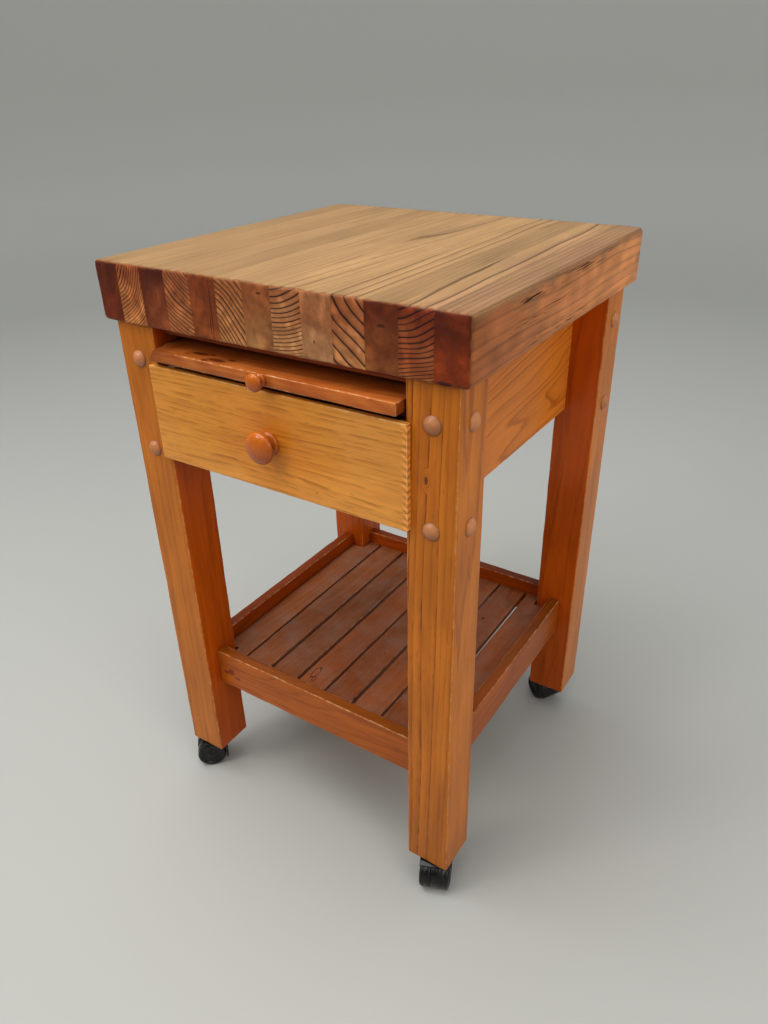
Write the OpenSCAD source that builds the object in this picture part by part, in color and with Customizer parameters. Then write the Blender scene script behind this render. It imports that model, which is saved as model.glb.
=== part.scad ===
// Kitchen island cart: a laminated chopping-block top on four square legs,
// with a drawer, a pull-out board above it, a slatted shelf and twin-wheel
// casters.
//
// Frame: millimetres, +Z up, front at -Y, +X to the right of someone facing
// the drawer. The origin lies on the floor under the middle of the bounding
// box, which runs from the tip of the drawer knob to the back of the top.

/* [Chopping-block top] */
// Width of the top, side to side
top_w = 545; // [440:1:700]
// Depth of the top, front to back
top_d = 535; // [440:1:700]
// Thickness of the top
top_t = 77; // [30:1:110]
// Staves glued side by side to make the top
staves = 13; // [9:1:15]
// Rounding of the top's four upright corners
top_r = 4; // [1:0.5:12]

/* [Legs and aprons] */
// Floor to the working surface
height = 890; // [740:1:1100]
// Side of the square leg
leg = 66; // [54:1:82]
// Overhang of the top past the legs at each side
over_side = 14.5; // [5:0.5:40]
// Overhang of the top past the front legs
over_front = 8; // [3:0.5:40]
// Overhang of the top past the back legs
over_back = 10.5; // [3:0.5:40]
// Height of the side and back aprons
apron_h = 190; // [150:1:230]
// Thickness of the aprons
apron_t = 16; // [12:1:22]

/* [Drawer] */
// Height of the drawer front
front_h = 134; // [100:1:160]
// How far the drawer front laps over each leg
front_lap = 7; // [3:0.5:20]
// How far the drawer front stands proud of the legs
front_proud = 9; // [7:0.5:14]
// Thickness of the drawer's sides and back
box_t = 12; // [9:0.5:15]
// Thickness of the drawer's bottom
bottom_t = 5; // [3:0.5:8]
// Diameter of the drawer knob's cap
knob_d = 42; // [32:1:50]
// How far the drawer knob reaches out
knob_l = 27; // [20:1:36]

/* [Pull-out board] */
// Thickness of the board
board_t = 16; // [12:1:22]
// Space between the top and the board
board_gap = 26; // [20:1:34]
// How far the board stands proud of the legs
board_proud = 14.4; // [8:0.2:24]
// Diameter of the board knob's cap
small_knob_d = 23; // [16:1:30]
// How far the board knob reaches out
small_knob_l = 17; // [12:1:22]

/* [Slatted shelf] */
// Floor to the top edge of the shelf rails
shelf_z = 264; // [180:1:340]
// Height of the shelf rails
rail_h = 66; // [48:1:90]
// Thickness of the shelf rails
rail_t = 18; // [14:1:26]
// Slats laid front to back
slats = 8; // [5:1:11]
// Gap between two slats
slat_gap = 6; // [3:0.5:12]
// Thickness of a slat
slat_t = 12; // [8:1:18]
// Drop from the top edge of the rails to the slats
slat_drop = 24; // [8:1:34]

/* [Plugs] */
// Diameter of the domed plugs in the legs
plug_d = 24; // [16:1:30]
// How far a plug's dome stands out
plug_l = 6; // [3:0.5:9]
// Drop from the top's upper face to the upper plugs
plug_drop = 126; // [110:1:150]
// Distance between the upper and the lower plugs
plug_pitch = 131; // [100:1:150]

/* [Casters] */
// Floor to the underside of the legs
caster_h = 57; // [54:1:70]
// Diameter of a caster wheel
wheel_d = 50; // [40:1:52]
// Width of one wheel of the pair
wheel_w = 17; // [12:1:20]
// Thickness of the web between the two wheels
web_t = 11; // [8:1:14]
// Offset of the axle from the swivel axis
trail = 20; // [16:1:26]
// Resting swivel angle of the front left caster
turn_fl = -134; // [-180:1:180]
// Resting swivel angle of the front right caster
turn_fr = -68; // [-180:1:180]
// Resting swivel angle of the back left caster
turn_bl = 20; // [-180:1:180]
// Resting swivel angle of the back right caster
turn_br = 150; // [-180:1:180]

/* [Hidden] */
corners = ["fl", "fr", "bl", "br"];
$fn = 64;
eps = 0.01;

// colours
c_top = [0.72, 0.52, 0.34];
c_frame = [0.68, 0.40, 0.18];
c_inside = [0.55, 0.27, 0.13];
c_front = [0.80, 0.55, 0.27];
c_board = [0.66, 0.38, 0.19];
c_slat = [0.46, 0.30, 0.22];
c_plug = [0.76, 0.52, 0.37];
c_knob = [0.68, 0.40, 0.24];
c_ply = [0.78, 0.63, 0.42];
c_plastic = [0.07, 0.07, 0.08];
c_steel = [0.62, 0.63, 0.65];

// depths: the bounding box is centred, so the knob's reach shifts the top
reach = knob_l + front_proud - over_front;
y_top = -(top_d - reach) / 2;            // front face of the top
y_face = y_top + over_front;             // front face of the front legs
y_leg = y_face + leg / 2;                // middle of the front legs
y_rear = y_top + top_d - over_back - leg / 2; // middle of the back legs
y_in = y_leg + leg / 2;                  // back face of the front legs
y_out = y_rear - leg / 2;                // front face of the back legs
x_leg = top_w / 2 - over_side - leg / 2; // middle of a leg
x_in = x_leg - leg / 2;                  // inner face of a leg
x_face = x_leg + leg / 2;                // outer face of a leg

// heights
z_top = height - top_t;                  // underside of the top
z_board = z_top - board_gap;             // upper face of the board
slide_gap = 0.3;                         // play under the board and drawer
guide_w = 14;                            // section of the board's guides
guide_h = 10;
z_guide = z_board - board_t - slide_gap; // upper face of the lower guides
z_front = z_guide - 8;                   // top edge of the drawer front
z_sill = z_front - front_h;              // bottom edge of the drawer front
runner_w = 16;                           // section of the drawer runners
runner_h = 12;
z_apron = z_top - apron_h;               // bottom edge of the aprons
z_runner = runner_h + max(z_sill - 1, z_apron + 4.7); // upper face of the runners
z_slat = shelf_z - slat_drop;            // upper face of the slats

// drawer box
box_x = x_in - 3;                        // outer face of the drawer sides
lip_t = front_proud - slide_gap;         // thickness of the lapping lip
y_lip = y_face - front_proud;            // front face of the drawer front
back_t = 9;                              // inner layer of the drawer front
y_box = y_lip + lip_t + back_t;          // back face of the drawer front
y_end = y_out - 18;                      // back end of the drawer
z_box = z_runner + slide_gap;            // bottom edge of the drawer sides
z_rim = z_guide - guide_h - 5;           // top edge of the drawer sides
z_floor = z_box + 10;                    // underside of the drawer bottom
groove = 5;                              // depth of the bottom's groove

// shelf joints
tenon_l = 20;
tenon_t = 8;
tenon_in = 8;                            // shoulder above and below a tenon
notch = 4;                               // space round a leg in the outer slats
slat_span = 2 * (x_leg - rail_t / 2 - 3);
slat_w = (slat_span - (slats - 1) * slat_gap) / slats;

// fittings
shank_r = 6;                             // shank of a plug
shank_l = 12;
tang_r = 5;                              // tang of the drawer knob
tang_l = 13;
pin_r = 4;                               // tang of the board knob
pin_l = 12;
stem_r = 5.5;                            // caster stem inside the leg
stem_l = 38;
pivot_r = 4;                             // caster stem inside the hood
collar_t = 2;
wheel_r = wheel_d / 2;
wheel_gap = 0.7;                         // web to wheel
axle_r = 3.95;                           // stub axle; the wheel bore is 4.0
axle_l = web_t / 2 + wheel_gap + wheel_w - 6;
hood_z = caster_h - collar_t - 0.2;      // upper end of the hood's boss

// turn and place of each corner
function side(c) = c == "fl" || c == "bl" ? -1 : 1;
function is_front(c) = c == "fl" || c == "fr";
function depth(c) = is_front(c) ? y_leg : y_rear;
function turn(c) = c == "fl" ? turn_fl : c == "fr" ? turn_fr
    : c == "bl" ? turn_bl : turn_br;

// a box from its low corner to its high corner
module span(low, high) {
    translate(low) cube(high - low);
}

// rectangle with round corners, centred
module round_rect(w, d, r) {
    square([w - 2 * r, d], center = true);
    square([w, d - 2 * r], center = true);
    for (x = [-1, 1], y = [-1, 1])
        translate([x * (w / 2 - r), y * (d / 2 - r)]) circle(r);
}

// one stave of the top; the first and the last carry the rounded corners
module stave(i) {
    w = top_w / staves;
    x = -top_w / 2 + (i - 1) * w;
    color(i % 2 == 1 ? c_top : c_top * 0.92)
    intersection() {
        translate([0, y_top + top_d / 2, z_top])
            linear_extrude(top_t) round_rect(top_w, top_d, top_r);
        span([x, y_top - 1, z_top - 1], [x + w, y_top + top_d + 1, height + 1]);
    }
}

// a leg, bored for its plugs and caster and mortised for the shelf rails
module leg_post(c) {
    s = side(c);
    out = is_front(c) ? -1 : 1;
    color(c_frame)
    translate([s * x_leg, depth(c), 0])
    difference() {
        translate([-leg / 2, -leg / 2, caster_h])
            cube([leg, leg, z_top - caster_h]);
        translate([0, 0, caster_h - 1]) cylinder(r = stem_r, h = stem_l + 1);
        for (z = [height - plug_drop, height - plug_drop - plug_pitch]) {
            translate([0, out * leg / 2, z]) rotate([out * 90, 0, 0])
                translate([0, 0, -1]) cylinder(r = shank_r, h = shank_l + 1);
            translate([s * leg / 2, 0, z]) rotate([0, -s * 90, 0])
                translate([0, 0, -1]) cylinder(r = shank_r, h = shank_l + 1);
        }
        for (a = [s > 0 ? 180 : 0, is_front(c) ? 90 : -90])
            rotate([0, 0, a])
                span([leg / 2 - tenon_l, -tenon_t / 2, shelf_z - rail_h + tenon_in],
                     [leg / 2 + 1, tenon_t / 2, shelf_z - tenon_in]);
    }
}

// side apron between a front and a back leg, flush with their inner faces
module apron_side(s) {
    color(c_frame)
    translate([s * (x_in + apron_t / 2), (y_in + y_out) / 2, z_top - apron_h / 2])
        cube([apron_t, y_out - y_in, apron_h], center = true);
}
module apron_left() { apron_side(-1); }
module apron_right() { apron_side(1); }

module apron_back() {
    color(c_frame)
    span([-x_in, y_out, z_apron], [x_in, y_out + apron_t, z_top]);
}

// flat stretcher under the top, behind the opening for the board
module stretcher() {
    color(c_inside)
    span([-x_in, y_face + 22, z_top - 16], [x_in, y_face + 47, z_top]);
}

// the two ledges that carry the drawer
module drawer_runners() {
    color(c_inside)
    for (s = [-1, 1])
        translate([s * (x_in - runner_w / 2), (y_face + 1 + y_out) / 2,
                   z_runner - runner_h / 2])
            cube([runner_w, y_out - y_face - 1, runner_h], center = true);
}

// the four strips that carry the board and keep it level when it is out
module board_guides() {
    y_low = y_face + 12;
    y_high = y_face + 54;
    color(c_inside)
    for (s = [-1, 1]) {
        translate([s * (x_in - guide_w / 2), (y_low + y_out) / 2,
                   z_guide - guide_h / 2])
            cube([guide_w, y_out - y_low, guide_h], center = true);
        translate([s * (x_in - guide_w / 2), y_high + 120,
                   z_board + slide_gap + guide_h / 2])
            cube([guide_w, 240, guide_h], center = true);
    }
}

// a shelf rail of length l along X, centred, with a tenon at each end
module shelf_rail(l) {
    color(c_frame) {
        translate([-l / 2, -rail_t / 2, shelf_z - rail_h])
            cube([l, rail_t, rail_h]);
        translate([-l / 2 - tenon_l, -tenon_t / 2, shelf_z - rail_h + tenon_in])
            cube([l + 2 * tenon_l, tenon_t, rail_h - 2 * tenon_in]);
    }
}
module rail_front() { translate([0, y_leg, 0]) shelf_rail(2 * x_in); }
module rail_back() { translate([0, y_rear, 0]) shelf_rail(2 * x_in); }
module rail_side(s) {
    translate([s * x_leg, (y_in + y_out) / 2, 0])
        rotate([0, 0, 90]) shelf_rail(y_out - y_in);
}
module rail_left() { rail_side(-1); }
module rail_right() { rail_side(1); }

// the two cleats on the front and back rails that carry the slats
module slat_cleats() {
    w = 16;
    z = z_slat - slat_t;
    color(c_inside) {
        span([-x_in, y_leg + rail_t / 2, z - w],
             [x_in, y_leg + rail_t / 2 + w, z]);
        span([-x_in, y_rear - rail_t / 2 - w, z - w],
             [x_in, y_rear - rail_t / 2, z]);
    }
}

// one slat; the outer two are notched round the legs
module slat(i) {
    x = -slat_span / 2 + (i - 1) * (slat_w + slat_gap);
    y0 = y_leg + rail_t / 2 + 0.5;
    y1 = y_rear - rail_t / 2 - 0.5;
    x_cut = x_in - notch;
    color(c_slat)
    difference() {
        span([x, y0, z_slat - slat_t], [x + slat_w, y1, z_slat]);
        for (s = [-1, 1], y = [y_in + notch, y_out - notch])
            translate([s * (x_cut + leg / 2), y + (y > 0 ? leg : -leg) / 2, z_slat])
                cube([leg, leg, 4 * slat_t], center = true);
    }
}

// profile of a domed plug: shank below 0, dome above
module plug_shape() {
    dome_r = (pow(plug_d / 2, 2) + pow(plug_l, 2)) / (2 * plug_l);
    edge = asin(plug_d / 2 / dome_r);
    rotate_extrude()
        polygon(concat(
            [[0, -shank_l], [shank_r, -shank_l], [shank_r, 0]],
            [for (k = [0:8]) let (a = edge * (1 - k / 8))
                [dome_r * sin(a), dome_r * (cos(a) - cos(edge))]]));
}

// sixteen plugs: two on each outer face of every leg
module plugs() {
    color(c_plug)
    for (c = corners, z = [height - plug_drop, height - plug_drop - plug_pitch]) {
        translate([side(c) * x_leg, is_front(c) ? y_face : y_rear + leg / 2, z])
            rotate([is_front(c) ? 90 : -90, 0, 0]) plug_shape();
        translate([side(c) * x_face, depth(c), z])
            rotate([0, side(c) * 90, 0]) plug_shape();
    }
}

// drawer front: a lip that laps the legs on a thicker inner panel
module drawer_front() {
    color(c_front)
    difference() {
        union() {
            translate([0, y_lip + lip_t, (z_front + z_sill) / 2])
                rotate([90, 0, 0]) linear_extrude(lip_t)
                    round_rect(2 * (x_in + front_lap), front_h, 2);
            span([-box_x + 0.5, y_lip + lip_t - eps, z_box + 0.5],
                 [box_x - 0.5, y_box, z_rim]);
        }
        translate([0, y_lip - 1, (z_front + z_sill) / 2]) rotate([-90, 0, 0])
            cylinder(r = tang_r, h = tang_l + 1);
        span([-box_x + box_t - groove, y_box - groove, z_floor],
             [box_x - box_t + groove, y_box + 1, z_floor + bottom_t]);
    }
}

// a drawer side, grooved for the bottom
module drawer_side(s) {
    color(c_ply)
    difference() {
        translate([s * (box_x - box_t / 2), (y_box + y_end) / 2, (z_box + z_rim) / 2])
            cube([box_t, y_end - y_box, z_rim - z_box], center = true);
        translate([s * (box_x - box_t), (y_box + y_end) / 2, z_floor + bottom_t / 2])
            cube([2 * groove, y_end - y_box + 2, bottom_t], center = true);
    }
}
module drawer_left() { drawer_side(-1); }
module drawer_right() { drawer_side(1); }

module drawer_back() {
    color(c_ply)
    span([-box_x + box_t, y_end - box_t, z_floor + bottom_t],
         [box_x - box_t, y_end, z_rim - 8]);
}

module drawer_bottom() {
    color(c_ply)
    span([-box_x + box_t - groove, y_box - groove, z_floor],
         [box_x - box_t + groove, y_end, z_floor + bottom_t]);
}

// turned mushroom knob standing on z = 0: collar, neck, domed cap and tang
module turned_knob(d, l, r_tang, l_tang) {
    r = d / 2;
    rim = 0.7 * l;                       // height of the cap's widest line
    collar = 0.39 * d;
    neck = 0.24 * d;
    rotate_extrude()
        polygon(concat(
            [[0, -l_tang], [r_tang, -l_tang], [r_tang, 0]],
            [[collar - 0.04 * l, 0], [collar, 0.05 * l], [collar, 0.13 * l],
             [collar - 0.06 * l, 0.2 * l], [neck, 0.28 * l], [neck, 0.36 * l]],
            [for (a = [-60:12:0]) [r * cos(a), rim + 0.26 * l * sin(a)]],
            [for (a = [10:10:90]) [r * cos(a), rim + 0.3 * l * sin(a)]]));
}

module drawer_knob() {
    color(c_knob)
    translate([0, y_lip, (z_front + z_sill) / 2]) rotate([90, 0, 0])
        turned_knob(knob_d, knob_l, tang_r, tang_l);
}

// the board slides between the legs on its guides
module board() {
    y_near = y_face - board_proud;
    y_far = y_out - 20;
    color(c_board)
    difference() {
        translate([0, (y_near + y_far) / 2, z_board - board_t])
            linear_extrude(board_t)
                round_rect(2 * (x_in - 3), y_far - y_near, 3);
        translate([0, y_near - 1, z_board - board_t / 2]) rotate([-90, 0, 0])
            cylinder(r = pin_r, h = pin_l + 1);
    }
}

module board_knob() {
    color(c_knob)
    translate([0, y_face - board_proud, z_board - board_t / 2]) rotate([90, 0, 0])
        turned_knob(small_knob_d, small_knob_l, pin_r, pin_l);
}

// four stems: a pin in the leg, a thrust collar and a pivot for the hood
module caster_stems() {
    color(c_steel)
    for (c = corners) translate([side(c) * x_leg, depth(c), 0]) {
        translate([0, 0, caster_h]) cylinder(r = stem_r, h = stem_l);
        translate([0, 0, caster_h - collar_t]) cylinder(r = 9, h = collar_t);
        translate([0, 0, wheel_r + 12])
            cylinder(r = pivot_r, h = caster_h - collar_t - wheel_r - 12);
    }
}

// pie slice of radius r from angle a0 to a1
module slice(r, a0, a1) {
    intersection() {
        circle(r);
        polygon(concat([[0, 0]],
            [for (k = [0:5]) let (a = a0 + (a1 - a0) * k / 5)
                2 * r * [cos(a), sin(a)]]));
    }
}

// swivel hood in its own frame: swivel axis at the origin, axle towards +X
module hood() {
    full_w = web_t + 2 * (wheel_gap + wheel_w);
    room = wheel_r + 1.2;                // radius kept clear for the wheels
    color(c_plastic)
    difference() {
        union() {
            // boss, cut back to a neck between the wheels
            difference() {
                translate([0, 0, wheel_r + 8])
                    cylinder(r = 12, h = hood_z - wheel_r - 8);
                for (s = [-1, 1])
                    translate([trail, s * (web_t / 2 + 20.3), wheel_r])
                        rotate([90, 0, 0]) cylinder(r = room, h = 40, center = true);
            }
            // web, the fender on its rim and the moulded stub axles
            translate([trail, 0, wheel_r]) rotate([90, 0, 0]) {
                linear_extrude(web_t, center = true) {
                    circle(wheel_r - 1.8);
                    slice(wheel_r + 3, 66, 194);
                }
                linear_extrude(full_w, center = true)
                    difference() {
                        slice(wheel_r + 3.8, 60, 200);
                        circle(wheel_r + 1.5);
                    }
                cylinder(r = axle_r, h = 2 * axle_l, center = true);
            }
        }
        translate([0, 0, wheel_r + 11]) cylinder(r = pivot_r + 0.05, h = 60);
    }
}

// one wheel about +Z, inner face on z = 0, with a blind bore and a hub cap
module wheel() {
    lip = 3.5;
    color(c_plastic)
    rotate_extrude()
        polygon(concat(
            [[4, 0], [wheel_r - 1, 0], [wheel_r, 1]],
            [for (a = [0:15:90]) [wheel_r - lip + lip * cos(a),
                                  wheel_w - lip + lip * sin(a)]],
            [[wheel_r - 6, wheel_w], [wheel_r - 6.6, wheel_w - 1.2],
             [9, wheel_w - 1.2], [8, wheel_w - 0.2], [0, wheel_w],
             [0, wheel_w - 5.5], [4, wheel_w - 5.5]]));
}

module hood_at(c) {
    translate([side(c) * x_leg, depth(c), 0]) rotate([0, 0, turn(c)]) hood();
}

// wheel a is on the hood's left, wheel b on its right, seen from the stem
module wheel_at(c, s) {
    k = s == "a" ? 1 : -1;
    translate([side(c) * x_leg, depth(c), 0]) rotate([0, 0, turn(c)])
        translate([trail, k * (web_t / 2 + wheel_gap), wheel_r])
            rotate([-k * 90, 0, 0]) wheel();
}

for (i = [1:staves]) stave(i);
for (c = corners) leg_post(c);
apron_left();
apron_right();
apron_back();
stretcher();
drawer_runners();
board_guides();
rail_front();
rail_back();
rail_left();
rail_right();
slat_cleats();
for (i = [1:slats]) slat(i);
plugs();
caster_stems();
drawer_front();
drawer_left();
drawer_right();
drawer_back();
drawer_bottom();
drawer_knob();
board();
board_knob();
for (c = corners) hood_at(c);
for (c = corners, s = ["a", "b"])
    wheel_at(c, s);
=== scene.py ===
import math
import bpy
import numpy as np
from mathutils import Matrix, Vector


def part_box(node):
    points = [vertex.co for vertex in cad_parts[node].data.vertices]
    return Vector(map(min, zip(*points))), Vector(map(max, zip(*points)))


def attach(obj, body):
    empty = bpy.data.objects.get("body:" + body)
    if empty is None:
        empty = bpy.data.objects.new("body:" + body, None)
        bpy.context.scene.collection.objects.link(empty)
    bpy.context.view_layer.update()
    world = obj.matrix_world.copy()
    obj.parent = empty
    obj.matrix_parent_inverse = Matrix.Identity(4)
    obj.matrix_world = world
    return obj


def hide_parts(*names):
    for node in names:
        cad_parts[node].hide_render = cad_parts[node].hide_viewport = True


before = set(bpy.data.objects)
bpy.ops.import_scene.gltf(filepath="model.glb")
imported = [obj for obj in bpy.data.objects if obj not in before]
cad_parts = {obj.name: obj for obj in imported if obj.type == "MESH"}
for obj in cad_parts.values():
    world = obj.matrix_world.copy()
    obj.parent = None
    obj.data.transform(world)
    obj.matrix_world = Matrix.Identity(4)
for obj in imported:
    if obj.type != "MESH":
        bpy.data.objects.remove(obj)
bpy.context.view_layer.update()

# ---- The chopping-block top ----
# Thirteen staves of radiata pine, 42 mm wide and 77 mm deep, glued side by side into one block.
# Every second stave shows bold growth rings on its ends, where washing has raised the grain;
# the others took the stain and stay dark. The block is flush outside, with rubbed arrises.
MM = 0.001
TURN = 2 * math.pi
SKIN = 0.01  # a point this near to a face, in mm, lies in it
MATH, RAMP, MIX = "ShaderNodeMath", "ShaderNodeMapRange", "ShaderNodeMix"
VECTOR, NOISE = "ShaderNodeVectorMath", "ShaderNodeTexNoise"


def linear(code):
    """A colour written as sRGB hex, made linear."""
    parts = np.array([int(code[i : i + 2], 16) / 255 for i in (1, 3, 5)])
    return np.where(parts <= 0.04045, parts / 12.92, ((parts + 0.055) / 1.055) ** 2.4)


def add(tree, kind, *given, op=None, **named):
    """Adds one node, with its operation op, and returns its outputs. Plain values, colours in hex
    and other nodes' outputs go to its live inputs in order, or by name with _ for a space. Names
    of the node's own properties set those."""
    node = tree.nodes.new(kind)
    if op:
        node.operation = op
    for key in [k for k in named if hasattr(node, k)]:
        setattr(node, key, named.pop(key))
    feeds = [*zip([s for s in node.inputs if s.enabled], given)]
    feeds += [(node.inputs[key.replace("_", " ")], value) for key, value in named.items()]
    for socket, value in feeds:
        if isinstance(value, bpy.types.NodeSocket):
            tree.links.new(value, socket)
        elif socket.type == "RGBA":
            socket.default_value = [*linear(value), 1]
        else:
            socket.default_value = value
    return node.outputs


def put(name, data):
    """An object with this data, in the scene."""
    made = bpy.data.objects.new(name, data)
    bpy.context.scene.collection.objects.link(made)
    return made


def place(*nodes):
    """Lowest and highest corner of these CAD nodes together, in millimetres."""
    boxes = [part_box(n) for n in nodes]
    low = np.min([b[0] for b in boxes], axis=0) / MM
    high = np.max([b[1] for b in boxes], axis=0) / MM
    return low, high


def ripple(points, seed, size):
    """A smooth random value from about -1 to 1 at each point, with waves about size mm long."""
    rng = np.random.default_rng(seed)
    total = np.zeros(len(points))
    for _ in range(7):
        way = rng.normal(size=3)
        way *= 2 * math.pi / (np.linalg.norm(way) * size * rng.uniform(0.6, 1.6))
        total += np.sin(points @ way + rng.uniform(0, 2 * math.pi))
    return total / 3.2


def rulings(low, high, edge, step):
    """Grid lines from low to high: close together at both ends, for a rubbed arris, then about
    a step apart."""
    near = [0, 0.35 * edge, 0.9 * edge, 1.8 * edge]
    count = max(1, round((high - low - 2 * near[-1]) / step))
    middle = np.linspace(low + near[-1], high - near[-1], count + 1)
    return np.concatenate([[low + n for n in near[:-1]], middle, [high - n for n in near[-2::-1]]])


def shell(lines):
    """Points and outward faces of a closed block with these three sets of grid lines."""
    shape = [len(axis) for axis in lines]
    outer = np.zeros(shape, bool)
    for axis in range(3):
        for end in (0, -1):
            outer[tuple(end if a == axis else slice(None) for a in range(3))] = True
    index = np.full(shape, -1)
    index[outer] = np.arange(outer.sum())
    points = np.stack(np.meshgrid(*lines, indexing="ij"), -1)[outer]
    faces = []
    for axis in range(3):
        for end in (0, -1):
            sheet = index.take(end, axis=axis)
            if axis == 1:
                sheet = sheet.T
            quads = np.stack([sheet[:-1, :-1], sheet[1:, :-1], sheet[1:, 1:], sheet[:-1, 1:]], -1)
            quads = quads.reshape(-1, 4)
            faces.append(quads if end == -1 else quads[:, ::-1])
    return points, np.concatenate(faces)


def rub(points, low, high, radius):
    """Rounds the arrises of a block to this radius, which may differ from point to point."""
    radius = np.broadcast_to(np.asarray(radius, float), (len(points),))[:, None]
    core = np.minimum(np.maximum(points, low + radius), high - radius)
    out = points - core
    length = np.linalg.norm(out, axis=1, keepdims=True)
    return core + out * np.minimum(1, radius / np.maximum(length, 1e-9))


def arris(points, low, high, reach):
    """1 on the arrises of a block, falling to 0 at reach mm from them."""
    gaps = np.sort(np.minimum(points - low, high - points), axis=1)
    return np.clip(1 - gaps[:, 1] / reach, 0, 1)


def in_log(points, grain, pith, lean=(0, 0), stray=3, seed=0, growth=(1, 0)):
    """Where each point was in the tree: two distances from the pith, then the one along it, in mm.

    pith is the heart's place seen from the middle of the piece, and lean how it drifts along it.
    stray bends the rings, and growth packs them closer, all over and then further from the heart.
    """
    sides = [a for a in range(3) if a != grain]
    middle = (points.min(0) + points.max(0)) / 2
    along = points[:, grain] - middle[grain]
    calm = points.copy()
    calm[:, grain] *= 0.2
    out = np.zeros_like(points)
    for k, side in enumerate(sides):
        out[:, k] = points[:, side] - middle[side] - pith[k] - lean[k] * along
        out[:, k] += stray * ripple(calm, seed * 7 + k, 55)
    radius = np.linalg.norm(out[:, :2], axis=1, keepdims=True)
    out[:, :2] *= growth[0] + growth[1] * radius
    out[:, 2] = along + 613 * seed
    return out


def write(mesh, **values):
    """Writes values at the points of a mesh: one number or three for each point."""
    for key, value in values.items():
        three = np.ndim(value) == 2
        layer = mesh.attributes.get(key)
        if layer is None:
            layer = mesh.attributes.new(key, "FLOAT_VECTOR" if three else "FLOAT", "POINT")
        layer.data.foreach_set("vector" if three else "value", np.ravel(value).astype(np.float32))


def piece(name, points, faces, finish, **values):
    """A mesh object from points in mm, with the values that its finish reads at each point."""
    mesh = bpy.data.meshes.new(name)
    mesh.from_pydata((points * MM).tolist(), [], np.asarray(faces).tolist())
    mesh.polygons.foreach_set("use_smooth", [True] * len(mesh.polygons))
    mesh.materials.append(finish)
    write(mesh, **values)
    return put(name, mesh)


def new_finish(name):
    """A new material, and its node tree with nothing in it."""
    made = bpy.data.materials.new(name)
    made.use_nodes = True
    made.node_tree.nodes.clear()
    return made, made.node_tree


# patterns that lie on a piece, not in its wood, in cells to the metre: dried drops 4 mm across,
# films of grease 42 mm, rubbed patches 12 mm, and dents scattered 38 mm apart
DROPS, FILM, PATCHES, DENTS = 260.0, 24.0, 85.0, 26.0


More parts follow.
